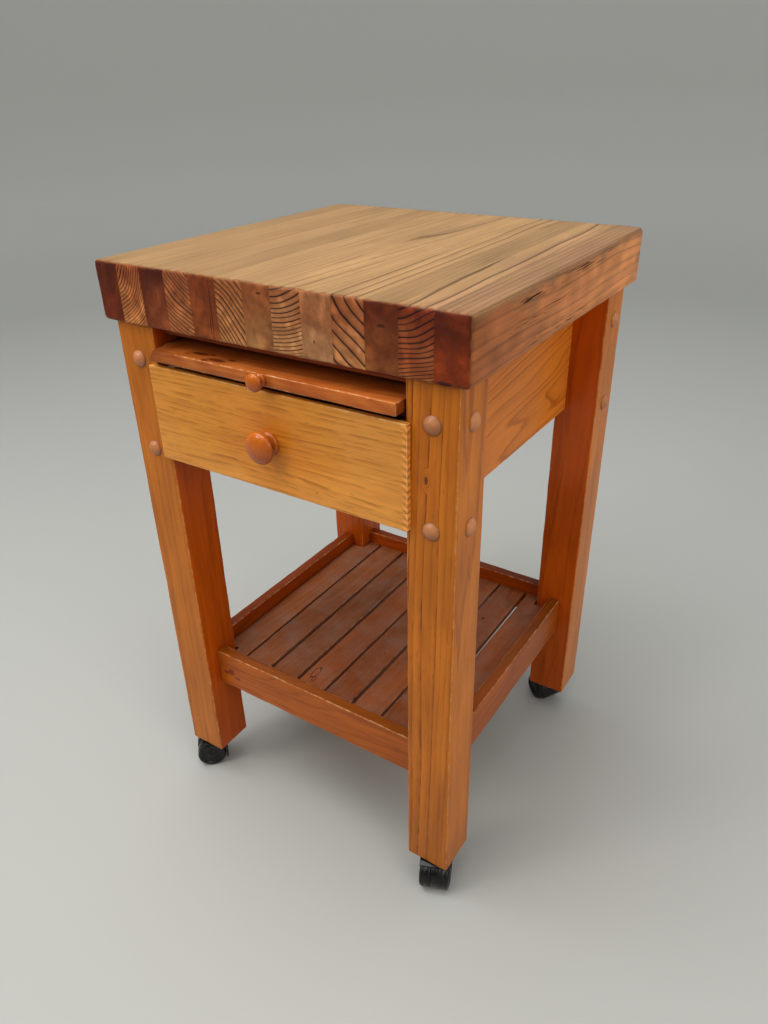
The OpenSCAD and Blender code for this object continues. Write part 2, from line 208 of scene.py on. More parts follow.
def pine(name, early, late, gap=5.0, rings=0.8, streaks=0.25, clouds=0.2, worn="#D9A066",
         wear=0.6, rough=0.42, specks=0.0, end="#7A3F22", end_share=0.55, marks=(), relief=0.5,
         deep="#6E2A0C", flame=0.0, dust=0.0, uneven=2.6, faint=0.3, broken=0.0, soft=0.0, coat=0.04):
    """Stained and varnished radiata pine. Pale early wood darkens slowly to a thin line of late
    wood in each ring, gap mm wide. Fine fibres and resin dashes run along it, the varnish pools
    in soft clouds, and the arrises are rubbed through. The eye reads rings first, then gloss."""
    made, t = new_finish(name)
    read = {key: add(t, "ShaderNodeAttribute", attribute_name=key)[way] for key, way in (
        ("timber", "Vector"), ("stain", "Vector"), ("arris", "Fac"), ("bold", "Fac"),
        ("endgrain", "Fac"), ("crack", "Fac"))}
    at = add(t, "ShaderNodeTexCoord")["Object"]
    # noise over the log: its size in mm across and along the grain, its detail and its twist
    noise = {}
    for key, across, along, detail, twist in (
            ("bend", 26, 190, 2, 0), ("fibre", 0.8, 42, 3, 0), ("broad", 6, 230, 2, 0),
            ("cloud", 70, 150, 3, 0), ("dash", 1.1, 15, 2, 0), ("breaks", 6, 34, 1, 0),
            ("lick", 15, 120, 2, 0.6), ("split", 1.7, 55, 2, 0.2)):
        stretched = add(t, "ShaderNodeMapping", Vector=read["timber"],
                        Scale=(1 / across, 1 / across, 1 / along))[0]
        noise[key] = add(t, NOISE, Vector=stretched, Scale=1.0, Detail=detail, Distortion=twist)

    # rings: the distance from the pith, gently bent, with uneven years
    bend = add(t, VECTOR, noise["bend"]["Color"], (3.2, 3.2, 0), (-1.6, -1.6, 0), op="MULTIPLY_ADD")[0]
    bent = add(t, VECTOR, read["timber"], (1, 1, 0), bend, op="MULTIPLY_ADD")[0]
    out = add(t, VECTOR, bent, op="LENGTH")["Value"]
    year = add(t, MATH, out, gap, op="DIVIDE")[0]
    drift = add(t, NOISE, noise_dimensions="1D", Scale=0.31, Detail=1.0, W=year)["Fac"]
    year = add(t, MATH, drift, uneven, year, op="MULTIPLY_ADD")[0]
    ragged = add(t, NOISE, Vector=at, Scale=DROPS, Detail=2.0)["Fac"] if marks else None
    stains = []
    for centre, size, tint, kind in marks:
        away = add(t, VECTOR, at, [c * MM for c in centre], op="SUBTRACT")[0]
        away = add(t, VECTOR, away, [c * MM for c in size], op="DIVIDE")[0]
        away = add(t, VECTOR, away, op="LENGTH")["Value"]
        if kind == "knot":
            swirl = add(t, RAMP, away, 0.3, 3.2, 3.0, 0.0, interpolation_type="SMOOTHERSTEP")[0]
            year = add(t, MATH, year, swirl, op="ADD")[0]
        # a spot is dark right through, an outline only at its rim, where a drop has dried
        away = add(t, MATH, ragged, 0.7, away, op="MULTIPLY_ADD")[0]
        edges = (1.0, 1.5)
        if kind == "outline":
            edges = (0.06, 0.2)
            away = add(t, MATH, away, 1.35, op="SUBTRACT")[0]
            away = add(t, MATH, away, op="ABSOLUTE")[0]
        stains.append((add(t, RAMP, away, *edges, 0.85, 0.0, interpolation_type="SMOOTHSTEP")[0], tint))
    share = add(t, MATH, year, op="FRACT")[0]
    line = add(t, "ShaderNodeValToRGB", Fac=share)[0]
    ramp = line.node.color_ramp
    for position, value in ((0.0, 0.25), (0.06, 0.0), (0.5, 0.08 + 0.4 * soft), (0.78, 0.36 + 0.5 * soft),
                            (0.88, 1.0), (0.95, 0.9), (1.0, 0.35)):
        stop = ramp.elements[-1 if position else 0] if position in (0, 1) else ramp.elements.new(position)
        stop.color = (value, value, value, 1)
    which = add(t, MATH, year, op="FLOOR")[0]
    strong = add(t, "ShaderNodeTexWhiteNoise", noise_dimensions="1D", W=which)["Value"]
    strong = add(t, MATH, strong, 1.1 - faint, faint, op="MULTIPLY_ADD")[0]
    kept = add(t, RAMP, noise["breaks"]["Fac"], 0.42, 0.6, 1 - broken, 1.0)[0]
    lines = line
    for more in (strong, rings, kept, read["bold"]):
        lines = add(t, MATH, lines, more, op="MULTIPLY", use_clamp=True)[0]

    # fine fibres, broader streaks, clouds of stain and resin dashes
    tone = 1.0
    for key, depth in (("fibre", streaks), ("broad", 1.6 * streaks), ("cloud", 2 * clouds)):
        part = add(t, MATH, noise[key]["Fac"], depth, 1 - depth / 2, op="MULTIPLY_ADD")[0]
        tone = add(t, MATH, part, tone, op="MULTIPLY")[0]
    dash = add(t, RAMP, noise["dash"]["Fac"], 0.66, 0.74, 1.0, 0.6)[0]
    tone = add(t, MATH, dash, tone, op="MULTIPLY")[0]
    colour = add(t, MIX, lines, early, late, data_type="RGBA")[2]
    if flame:
        lick = add(t, RAMP, noise["lick"]["Fac"], 0.48, 0.72, 0.0, flame)[0]
        colour = add(t, MIX, lick, colour, deep, data_type="RGBA")[2]
    colour = add(t, VECTOR, colour, tone, op="SCALE")[0]
    # this attribute holds real stain and, on the legs, side aprons, plugs, knobs and board, painted shade
    # and painted highlights
    colour = add(t, VECTOR, colour, read["stain"], op="MULTIPLY")[0]
    cut = add(t, MATH, read["endgrain"], end_share, op="MULTIPLY")[0]
    colour = add(t, MIX, cut, colour, end, data_type="RGBA", blend_type="MULTIPLY")[2]
    if dust:
        film = add(t, NOISE, Vector=at, Scale=FILM, Detail=5.0, Roughness=0.6)["Fac"]
        film = add(t, RAMP, film, 0.4, 0.7, 0.0, dust)[0]
        colour = add(t, MIX, film, colour, "#8F8078", data_type="RGBA")[2]

    # rubbed arrises, broken up by noise, small pale dents, open cracks and the marks
    patch = add(t, NOISE, Vector=at, Scale=PATCHES, Detail=4.0, Roughness=0.65)["Fac"]
    bare = add(t, MATH, patch, 1.5, read["arris"], op="MULTIPLY_ADD")[0]
    bare = add(t, RAMP, bare, 1.45, 1.8, 0.0, wear)[0]
    if specks:
        dots = add(t, "ShaderNodeTexVoronoi", Vector=at, Scale=DENTS, Randomness=1.0)
        pick = add(t, "ShaderNodeSeparateXYZ", dots["Color"])["X"]
        reach = add(t, RAMP, pick, 0.62, 1.0, 0.0, 0.06)[0]
        spot = add(t, MATH, dots["Distance"], reach, op="LESS_THAN")[0]
        spot = add(t, MATH, spot, specks, op="MULTIPLY")[0]
        bare = add(t, MATH, bare, spot, op="MAXIMUM")[0]
    split = add(t, RAMP, noise["split"]["Fac"], 0.57, 0.61)[0]
    split = add(t, MATH, split, read["crack"], op="MULTIPLY")[0]
    for spot, tint in [(bare, worn), (split, "#3A180A")] + stains:
        colour = add(t, MIX, spot, colour, tint, data_type="RGBA")[2]
    gloss = rough - 0.08
    for value, depth in ((noise["fibre"]["Fac"], 0.16), (bare, 0.2), (split, 0.3)):
        gloss = add(t, MATH, value, depth, gloss, op="MULTIPLY_ADD")[0]
    height = 0.0
    for value, depth in ((lines, relief), (noise["fibre"]["Fac"], 0.5), (patch, 0.5), (split, -2.0)):
        height = add(t, MATH, value, depth, height, op="MULTIPLY_ADD")[0]
    bump = add(t, "ShaderNodeBump", Strength=0.35, Distance=0.0006, Height=height)[0]
    shader = add(t, "ShaderNodeBsdfPrincipled", Base_Color=colour, Roughness=gloss, Normal=bump, IOR=1.45,
                 Specular_IOR_Level=0.22, Coat_Weight=coat, Coat_Roughness=0.09)
    add(t, "ShaderNodeOutputMaterial", Surface=shader[0])
    return made


def finish_off(made, body, slot, *nodes):
    """Hands a finished piece to its CAD body and hides the CAD nodes it stands for; its slot is not used."""
    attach(made, body)
    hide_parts(*nodes)


def new_tree(name, **kinds):
    """An empty Geometry Nodes tree, and its inputs: a blank, what is named here, and a finish."""
    tree = bpy.data.node_groups.new(name, "GeometryNodeTree")
    for key, kind in {"Geometry": "Geometry", **kinds, "Finish": "Material"}.items():
        tree.interface.new_socket(key.replace("_", " "), in_out="INPUT", socket_type="NodeSocket" + kind)
    tree.interface.new_socket("Geometry", in_out="OUTPUT", socket_type="NodeSocketGeometry")
    return tree, add(tree, "NodeGroupInput")


def numbered(tree, instances):
    """Numbers the instances in a tree and makes them real."""
    number = add(tree, "GeometryNodeInputIndex")[0]
    marked = add(tree, "GeometryNodeStoreNamedAttribute", data_type="INT", domain="INSTANCE",
                 Geometry=instances, Name="number", Value=number)[0]
    return add(tree, "GeometryNodeRealizeInstances", Geometry=marked)[0]


def send_out(tree, result, finish):
    """Gives the result of a tree its finish."""
    done = add(tree, "GeometryNodeSetMaterial", Geometry=result, Material=finish)[0]
    add(tree, "NodeGroupOutput", Geometry=done)
    return tree


def row_of_blanks():
    """Geometry Nodes that set out equal blanks in a row, each numbered, with a little play."""
    tree, given = new_tree("row of blanks", Count="Int", Pitch="Vector", Play="Vector", Seed="Int")
    line = add(tree, "GeometryNodeMeshLine", mode="OFFSET", Count=given["Count"], Offset=given["Pitch"])[0]
    set_out = add(tree, "GeometryNodeInstanceOnPoints", Points=line, Instance=given["Geometry"])[0]
    less = add(tree, VECTOR, given["Play"], -1.0, op="SCALE")[0]
    shift = add(tree, "FunctionNodeRandomValue", less, given["Play"], data_type="FLOAT_VECTOR",
                Seed=given["Seed"])[0]
    moved = add(tree, "GeometryNodeTranslateInstances", Instances=set_out, Translation=shift)[0]
    return send_out(tree, numbered(tree, moved), given["Finish"])


def grow(name, blank, tree, **inputs):
    """Runs a node tree on a blank and returns the result as a plain mesh object."""
    maker = blank.modifiers.new(name, "NODES")
    maker.node_group = tree
    given = {key.replace("_", " "): value for key, value in inputs.items()}
    for item in tree.interface.items_tree:
        if item.item_type == "SOCKET" and item.in_out == "INPUT" and item.name in given:
            maker[item.identifier] = given[item.name]
    ready = blank.evaluated_get(bpy.context.evaluated_depsgraph_get())
    mesh = bpy.data.meshes.new_from_object(ready)
    mesh.name = name
    blank.modifiers.remove(maker)
    bpy.data.objects.remove(blank)
    return put(name, mesh)


def points_of(mesh):
    """The points of a mesh in mm."""
    flat = np.empty(len(mesh.vertices) * 3)
    mesh.vertices.foreach_get("co", flat)
    return flat.reshape(-1, 3) / MM


def numbers_of(mesh):
    """The number that the row gave to each point."""
    flat = np.zeros(len(mesh.vertices), np.int32)
    mesh.attributes["number"].data.foreach_get("value", flat)
    return flat


STAVES = 13
block_low, block_high = place(*["stave_%d" % i for i in range(1, STAVES + 1)])
stave_wide = (block_high[0] - block_low[0]) / STAVES
# cracks and dark spots on the front ends: staves in from the left, mm up, size and colour
top_marks = [((block_low[0] + x * stave_wide, block_low[1], block_low[2] + z), size, tint, "mark")
             for x, z, size, tint in (
                 (4.78, 34, (0.9, 4, 44), "#2A0E06"), (4.7, 20, (0.7, 4, 16), "#2A0E06"),
                 (12.3, 3, (9, 4, 3), "#30080A"), (6.6, 66, (4, 4, 1.5), "#3A160A"),
                 (8.4, 22, (1.2, 4, 2), "#3A160A"), (10.5, 52, (5, 4, 2), "#34140A"))]
TAN = "#A57F53"
RING_GAP = 7.0
RUBBED = 3.2
# oiled, not varnished: the eye gets matt tan wood, bold dark rings and long open cracks
top_pine = pine("oiled radiata pine block", TAN, "#2F150A", gap=RING_GAP, rings=1.0, streaks=0.42,
                clouds=0.24, worn="#8F5A32", wear=0.5, rough=0.5, end="#FFFFFF", end_share=0.0,
                relief=1.2, uneven=0.8, faint=0.75, coat=0.0, marks=top_marks)
# the heart of each tree seen from the middle of the stave's end, how its rings close up, the
# colours of the end at its top and its foot, and the tone and the boldness of its upper face
staves = {
    1: ((90, 60), (1, 0), "#481604", "#732A0A", 0.84, 0.15),
    2: ((-62, 52), (0.77, 0.0062), "#964B26", "#C88044", 1.0, 0.2),
    3: ((120, 20), (1, 0), "#461303", "#86401B", 0.9, 0.12),
    4: ((70, 105), (1.37, 0), "#965029", "#A96538", 1.0, 0.25),
    5: ((-110, 30), (1, 0), "#6C2D0E", "#7C3C15", 0.86, 0.15),
    6: ((-72, -64), (1.2, 0), "#99572E", "#C0814A", 1.06, 0.25),
    7: ((100, -50), (1, 0), "#7F401D", "#99653A", 0.98, 0.15),
    8: ((-18, 96), (0.05, 0.0063), "#9F5E35", "#BF8755", 1.1, 0.4),
    9: ((-120, -40), (1, 0), "#965A35", "#9F6E48", 1.08, 0.2),
    10: ((88, 104), (0.58, 0), "#944F2A", "#B57747", 1.08, 0.5),
    11: ((110, 70), (1, 0), "#591F07", "#864A22", 0.8, 0.2),
    12: ((-45, 130), (-0.4, 0.0061), "#742B0D", "#99532A", 1.02, 0.55),
    13: ((-100, 80), (1, 0), "#501806", "#7F2F0B", 0.8, 0.35),
}


def column(values):
    """A value from 0 to 1 for each point, ready to multiply colours."""
    return np.clip(values, 0, 1)[:, None]


def stave_stain(here, which, ends):
    """The colour of a stave at each point as a multiple of the tan, with how far down the point
    is in mm and how far back as a share."""
    head, foot, shade = staves[which][2:5]
    # ends: dark at the top, paler at the foot, with washed and pooled patches
    deep = (block_high[2] - here[:, 2]) / (block_high[2] - block_low[2])
    deep = column(deep + 0.22 * ripple(here, which, 34)) ** 1.4
    end_colour = linear(head) * (1 - deep) + linear(foot) * deep
    washed = column(1.5 * ripple(here, which + 40, 21) - 0.35)
    pooled = column(1.5 * ripple(here, which + 60, 17) - 0.5)
    end_colour = end_colour * (1 + (0.5 * washed - 0.3 * pooled) * (0.9, 1.0, 1.1))
    # sides: browner than the upper face, and more so at the front
    under = block_high[2] - here[:, 2]
    far = (here[:, 1] - block_low[1]) / (block_high[1] - block_low[1])
    side = column((under * (1 + 0.5 * ripple(here, 90, 45)) - 2) / 10)
    mottle = 1 + 0.15 * ripple(here, 91, 38)[:, None] + 0.1 * ripple(here, 92, 14)[:, None]
    brown = far[:, None] * (1.35, 1.2, 0.98) + (1.1, 0.64, 0.41)
    face = shade * (1 - side) + brown * mottle * side
    # the right edge of the upper face has lost its oil and gone pinkish
    pink = column((here[:, 0] - block_high[0] + 75) / 60 + 0.5 * ripple(here, 93, 90))
    face = face * (1 + pink * (0.05, -0.04, 0.1))
    # the dark stain of the ends laps a few mm round their arrises
    inward = np.minimum(here[:, 1] - block_low[1], block_high[1] - here[:, 1])
    lap = column((5.5 + 2.5 * ripple(here, 94, 16) - inward) / 5)
    face = face * (1 - lap) + lap * (0.6, 0.4, 0.28)
    return np.where(ends[:, None], end_colour / linear(TAN), face), under, far


row = row_of_blanks()
for first, count, kind, step in ((1, 7, "dark", 3.4), (2, 6, "ringed", 1.5)):
    ringed = kind == "ringed"
    low = block_low + [(first - 1) * stave_wide, 0, 0]
    high = np.array([low[0] + stave_wide, block_high[1], block_high[2]])
    points, faces = shell([rulings(low[0], high[0], 1.0, step), rulings(low[1], high[1], RUBBED, 24),
                           rulings(low[2], high[2], RUBBED, step)])
    blank = piece("blank", points, faces, top_pine)
    made = grow("top_staves_" + kind, blank, row, Count=count, Pitch=(2 * stave_wide * MM, 0, 0),
                Play=(0, 0, 0), Seed=1, Finish=top_pine)
    points, number = points_of(made.data), numbers_of(made.data)
    timber, stain = np.zeros_like(points), np.ones_like(points)
    cut, lift, notch, crack, strength = np.zeros((5, len(points)))
    edges = arris(points, block_low, block_high, 7)
    for k in range(count):
        own = number == k
        here = points[own]
        which = first + 2 * k
        lean = (0.03 * math.sin(which), 0.02 * math.cos(2 * which))
        log = in_log(here, 1, staves[which][0], lean, 1.6, which, staves[which][1])
        ends = np.minimum(here[:, 1] - block_low[1], block_high[1] - here[:, 1]) < SKIN
        timber[own], cut[own] = log, ends
        stain[own], under, far = stave_stain(here, which, ends)
        beneath = under > 0.1
        strength[own] = np.where(ends, 1.3 if ringed else 0.1,
                                 np.where(beneath, 0.34, 1.3 * staves[which][5]))
        # three bands of long cracks along the sides: under the arris, half-way down and at the foot
        for level, reach, start, stop in ((11, 7, 0.12, 0.78), (36, 6, 0.1, 0.55), (66, 7, 0.22, 0.62)):
            band = np.exp(-((under - level - 12 * (0.5 - far)) / reach) ** 2)
            band *= np.clip(12 * np.minimum(far - start, stop - far), 0, 1)
            crack[own] = np.maximum(crack[own], band * beneath * ~ends)
        # raised grain on the ends: each year stands proud in the middle and dips at its late wood
        years = np.linalg.norm(log[:, :2], axis=1) / RING_GAP
        wave = np.cos(TURN * (years - 0.4)) * ringed
        lift[own] = ends * np.sign(here[:, 1]) * (0.28 * wave + 0.18 * math.sin(5 * which))
        notch[own] = 0.9 * wave
    beside = np.minimum(points[:, 0] - block_low[0], block_high[0] - points[:, 0])
    radius = RUBBED * (1 + 0.3 * ripple(points, 5, 60)) + 3.0 * np.exp(-beside / 14) + notch
    shaped = rub(points, block_low, block_high, radius)
    shaped[:, 1] += lift * (1 - edges)
    made.data.vertices.foreach_set("co", np.ravel(shaped * MM))
    write(made.data, timber=timber, stain=stain, arris=edges, endgrain=cut, bold=strength, crack=crack)
    finish_off(made, "cart", "end_grain_top", *["stave_%d" % (first + 2 * k) for k in range(count)])

# ---- Legs ----
# Four square posts of varnished radiata pine, 66 mm thick, planed with small rubbed arrises.
# Each has mortises for the shelf rails and holes for the plugged screws of the aprons.


def plank(name, low, high, grain, finish, edge=1.5, step=9, wear=0.35, pith=(60, 40), lean=(0, 0),
          stray=3, seed=0, tone=None, dents=1.0, bold=1.0, soften=None):
    """A planed board between two corners, with rubbed and dented arrises and its own timber."""
    low, high = np.array(low, float), np.array(high, float)
    steps = [step * (2.6 if axis == grain else 1) for axis in range(3)]
    points, faces = shell([rulings(low[a], high[a], edge, steps[a]) for a in range(3)])
    radius = edge * (1 + wear * ripple(points, seed + 3, 38))
    radius += dents * edge * np.clip(ripple(points, seed + 4, 23) - 0.95, 0, 0.6)
    if soften is not None:
        radius += soften(points, low, high)
    shaped = rub(points, low, high, radius)
    cut = (np.minimum(points[:, grain] - low[grain], high[grain] - points[:, grain]) < SKIN) * 1.0
    stain = np.ones_like(points) if tone is None else tone(points, low, high)
    return piece(name, shaped, faces, finish, stain=stain, arris=arris(points, low, high, 2.2 * edge),
                 timber=in_log(points, grain, pith, lean, stray, seed), endgrain=cut,
                 bold=np.full(len(points), bold))


leg_marks = [((218, -245.5, 697), (2.6, 4, 6), "#5A2408", "knot"),
             ((-252, -245.5, 144), (1.2, 3, 1.2), "#3A1606", "mark"),
             ((-239, -245.5, 118), (1.4, 3, 1.0), "#3A1606", "mark")]
# two or three coats of varnish: the eye gets warm amber, soft brown lines and a satin gloss
leg_pine = pine("varnished radiata pine, amber", "#C26D17", "#763105", gap=9.0, rings=0.85,
                streaks=0.24, worn="#DBA36A", wear=0.5, rough=0.34, specks=0.7,
                flame=0.3, deep="#8A4210", marks=leg_marks, broken=0.5, soft=0.3)


def leg_tone_and_painted_light(points, low, high):
    """Redder on the faces turned inwards, as painted shade with warm bounced light, paler on the right faces
    of the right-hand legs, as painted light, in soft upright bands, and darker at the foot.
    """
    middle, half = (low + high) / 2, (high - low) / 2
    outward = ((points - middle) * np.sign(middle) / half)[:, :2]
    red = np.ones_like(points)
    # painted shade: the faces turned inwards are made deep red, as if shaded and lit by light bounced off
    # the wood
    red[(outward < -1 + SKIN / half[0]).any(axis=1)] = (0.98, 0.57, 0.24)
    # painted light: the right faces of the right-hand legs are made paler
    right = (points[:, 0] > high[0] - SKIN) * (middle[0] > 0)
    foot = column(1 - (points[:, 2] - low[2]) / 420)
    red = red * (1 - foot * (0.12, 0.14, 0.2)) * (1 + 0.28 * right[:, None])
    return red * (1 + 0.1 * ripple(points * (1, 1, 0.12), 95, 22)[:, None] * (1, 1.2, 1.4))


# the heart of each leg's tree seen from the leg's middle, and how strongly its rings show
leg_hearts = {"fl": ((95, 60), 0.35), "fr": ((-160, -14), 1.15), "bl": ((80, -90), 0.5),
              "br": ((-70, 110), 0.45)}
for n, (corner, (heart, bold)) in enumerate(leg_hearts.items()):
    low, high = place("leg_" + corner)
    made = plank("leg_" + corner + "_post", low, high, 2, leg_pine, 2.4, 9, 0.4, heart,
                 (0.02, -0.012), 2.5, 20 + n, leg_tone_and_painted_light, bold=bold)
    finish_off(made, "cart", "pine_frame", "leg_" + corner)

# ---- Aprons ----
# Flat-sawn pine boards, 16 mm thick and 190 mm deep, glued and screwed between the legs under
# the block at both sides and the back. Their faces show wide arched grain.

# the same varnish on paler wood: the eye gets golden boards with brown arches
apron_pine = pine("varnished radiata pine, golden", "#E88529", "#A2480E", gap=8.0, rings=0.75,
                  streaks=0.22, clouds=0.16, worn="#E0AC70", wear=0.4, rough=0.34)


def apron_painted_highlight(points, low, high):
    """A painted highlight: a bright line at each end of a side apron, along its joint to the leg."""
    near = np.minimum(points[:, 1] - low[1], high[1] - points[:, 1]) < 1.2
    return np.ones_like(points) + (near & (high[0] - low[0] < 50))[:, None] * (0.5, 0.7, 1.2)


for n, (side, grain, heart) in enumerate((("left", 1, (70, -20)), ("right", 1, (-60, -62)),
                                          ("back", 0, (60, 30)))):
    low, high = place("apron_" + side)
    made = plank("apron_" + side + "_board", low, high, grain, apron_pine, 1.0, 9, 0.3, heart,
                 (0.05, 0.1), 5, 31 + n, apron_painted_highlight)
    finish_off(made, "cart", "pine_frame", "apron_" + side)

# ---- Stretcher, drawer runners and board guides ----
# Plain pine strips screwed inside the frame. They are never varnished outside, but took the
# same red stain, and the drawer and the board have polished them where they slide.

# stain and no varnish: the eye gets a dull red-brown with pale rubbed arrises
inside_pine = pine("stained pine, inside", "#A4552C", "#6B2D12", gap=6.0, rings=0.6, streaks=0.3,
                   worn="#B97A4C", wear=0.5, rough=0.6)
RUNNER_W = 16
GUIDE_W, GUIDE_H = 14, 10
KEEPER_AT, KEEPER_LONG = 42, 240  # the upper guides start behind the front and are short


def joined(name, parts):
    """Several meshes made one piece."""
    if len(parts) > 1:
        with bpy.context.temp_override(active_object=parts[0], selected_editable_objects=parts):
            bpy.ops.object.join()
    parts[0].name = parts[0].data.name = name
    return parts[0]


def strips(name, node, corners, seed, grain=1):
    """Sawn strips between pairs of corners, made one piece that stands for a CAD node."""
    made = [plank("strip", low, high, grain, inside_pine, 0.8, 8, seed=seed + k)
            for k, (low, high) in enumerate(corners)]
    finish_off(joined(name, made), "cart", "pine_inside", node)


strips("top_stretcher", "stretcher", [place("stretcher")], 41, 0)
low, high = place("drawer_runners")
strips("drawer_runner_pair", "drawer_runners",
       [((x, low[1], low[2]), (x + RUNNER_W, high[1], high[2])) for x in (low[0], high[0] - RUNNER_W)], 42)
low, high = place("board_guides")
sides = (low[0], high[0] - GUIDE_W)
front = low[1] + KEEPER_AT
strips("board_guide_set", "board_guides",
       [((x, low[1], low[2]), (x + GUIDE_W, high[1], low[2] + GUIDE_H)) for x in sides]
       + [((x, front, high[2] - GUIDE_H), (x + GUIDE_W, front + KEEPER_LONG, high[2])) for x in sides], 45)

# ---- Shelf rails ----
# Four pine rails, 18 mm thick and 66 mm high, tenoned into the legs. The top arrises are
# knocked and rubbed pale, and a red knot sits near the left end of the front one.
low, high = place("rail_front")
TENON = 20
# more stain under the varnish: the eye gets red-brown rails with pale broken edges
rail_pine = pine("varnished radiata pine, red", "#B05810", "#752D04", gap=7.0, rings=0.55,
                 streaks=0.3, clouds=0.3, worn="#CF9C6C", wear=0.7, rough=0.36, specks=0.6,
                 marks=(((-165, low[1], 230), (7, 6, 6), "#6A2010", "knot"),
                        ((-176, low[1], 226), (6, 4, 4), "#74280F", "mark"),
                        ((-152, low[1], 221), (7, 4, 3), "#74280F", "mark"),
                        ((234, -70, 268), (5, 4, 3), "#3A1508", "mark")), flame=0.4, broken=0.5)
rail_looks = {"front": (0, (40, 55), (1.0, 1.0, 1.0)), "back": (0, (-30, -70), (0.9, 0.62, 0.42)),
              "left": (1, (60, -50), (0.9, 0.62, 0.42)), "right": (1, (-50, 60), (1.0, 0.98, 0.92))}
for n, (side, (grain, heart, hue)) in enumerate(rail_looks.items()):
    low, high = place("rail_" + side)
    low[grain] += TENON
    high[grain] -= TENON

    def rail_tone(points, low, high):
        """The far rails are redder, and greasy dust lies along the upper edge of all four."""
        dusky = column((points[:, 2] - high[2] + 1.5) / 1.5)
        return (1 - dusky * (0.4, 0.38, 0.3)) * hue

    made = plank("shelf_rail_" + side, low, high, grain, rail_pine, 2.2, 8, 0.5, heart,
                 (0.03, 0.05), 5, 51 + n, rail_tone)
    finish_off(made, "cart", "pine_frame", "rail_" + side)

# ---- Slat cleats ----
# Two square strips of pine, glued inside the front and back rails, that carry the slats.
CLEAT_W = 16
low, high = place("slat_cleats")
strips("slat_cleat_pair", "slat_cleats",
       [((low[0], y, low[2]), (high[0], y + CLEAT_W, high[2])) for y in (low[1], high[1] - CLEAT_W)], 56, 0)

# ---- Shelf slats ----
# Eight pine slats, 48 mm wide, nailed to the cleats 6 mm apart; the outer two are notched round
# the legs. Pots have scuffed them and greasy dust has dulled the varnish.
SLATS = 8
NOTCH_X = 188  # the outer slats reach this far from the middle beside the legs
NOTCH_GAP = 4
slat_names = ["slat_%d" % i for i in range(1, SLATS + 1)]
shelf_high = place(*slat_names)[1]
slat_low, slat_high = place("slat_1")
slat_pitch = place("slat_2")[0][0] - slat_low[0]
leg_near, leg_far = place("leg_fl")[1][1] + NOTCH_GAP, place("leg_bl")[0][1] - NOTCH_GAP
# old varnish under grease: the eye gets a dull purple-brown, grey film and dried drops
slat_pine = pine("dusty stained pine slats", "#874B25", "#552A13", gap=7.0, rings=0.35, streaks=0.3,
                 clouds=0.45, worn="#B98D6C", wear=0.9, rough=0.5, specks=0.5, end="#7A4A35", dust=0.28,
                 marks=[((x, y, shelf_high[2]), size, "#38180C", kind) for x, y, size, kind in (
                     (-37.5, -157, (5, 13, 6), "outline"), (129, 115, (3, 3.5, 6), "mark"),
                     (51, -173, (2, 3, 6), "mark"), (-31, -171, (3, 5, 6), "outline"))])
# two grid lines close together at each end of the notches make their corners sharp
steps = [leg_near - 0.05, leg_near + 0.05, leg_far - 0.05, leg_far + 0.05]
along = rulings(slat_low[1], slat_high[1], 1.2, 22)
along = np.array(sorted([y for y in along if min(abs(y - s) for s in steps) > 2] + steps))
points, faces = shell([rulings(slat_low[0], slat_high[0], 1.2, 8), along,
                       rulings(slat_low[2], slat_high[2], 1.2, 6)])
blank = piece("blank", points, faces, slat_pine)
made = grow("shelf_slats", blank, row, Count=SLATS, Pitch=(slat_pitch * MM, 0, 0),
            Play=(0.5 * MM, 0, 0.25 * MM), Seed=4, Finish=slat_pine)
points, number = points_of(made.data), numbers_of(made.data)
timber, stain = np.zeros_like(points), np.ones_like(points)
edges, cut = np.zeros((2, len(points)))
for k in range(SLATS):
    own = number == k
    here = points[own]
    low, high = here.min(0), here.max(0)
    timber[own] = in_log(here, 1, (40 * math.sin(3 * k + 1), -50 - 6 * k), (0.04, 0.03), 4, 60 + k)
    edges[own] = arris(here, low, high, 2.6)
    cut[own] = np.minimum(here[:, 1] - low[1], high[1] - here[:, 1]) < SKIN
    hue = np.array([1.0, 0.98, 0.95] if k < 3 else [1.1, 0.96, 0.8])
    stain[own] = hue * (1 + 0.13 * math.sin(2.7 * k + 0.4))
    here = rub(here, low, high, 1.2 * (1 + 0.5 * ripple(here, 70 + k, 40)))
    if k in (0, SLATS - 1):
        beside = (here[:, 1] < leg_near) | (here[:, 1] > leg_far)
        here[beside, 0] = np.clip(here[beside, 0], -NOTCH_X, NOTCH_X)
    points[own] = here
made.data.vertices.foreach_set("co", np.ravel(points * MM))
write(made.data, timber=timber, stain=stain, arris=edges, endgrain=cut, bold=np.ones(len(points)))
finish_off(made, "cart", "slat_wood", *slat_names)

# ---- Domed plugs ----
# Sixteen turned beech plugs, 24 mm across, glued over the screws: two on each outer face of
# every leg. They are paler than the legs, and their domes are polished by hands and cloths.


def turning():
    """Geometry Nodes that turn a profile, drawn from the top of its axis down, into a solid."""
    tree, given = new_tree("turning", Segments="Int")
    profile = add(tree, "GeometryNodeMeshToCurve", Mesh=given["Geometry"])[0]
    ring = add(tree, "GeometryNodeCurvePrimitiveCircle", mode="RADIUS", Radius=1e-6,
               Resolution=given["Segments"])[0]
    upright = add(tree, "GeometryNodeSetCurveNormal", mode="Z_UP", Curve=ring)[0]
    swept = add(tree, "GeometryNodeCurveToMesh", Curve=upright, Profile_Curve=profile)[0]
    closed = add(tree, "GeometryNodeMergeByDistance", Geometry=swept, Distance=5e-6)[0]
    smooth = add(tree, "GeometryNodeSetShadeSmooth", Geometry=closed)[0]
    return send_out(tree, smooth, given["Finish"])


lathe = turning()


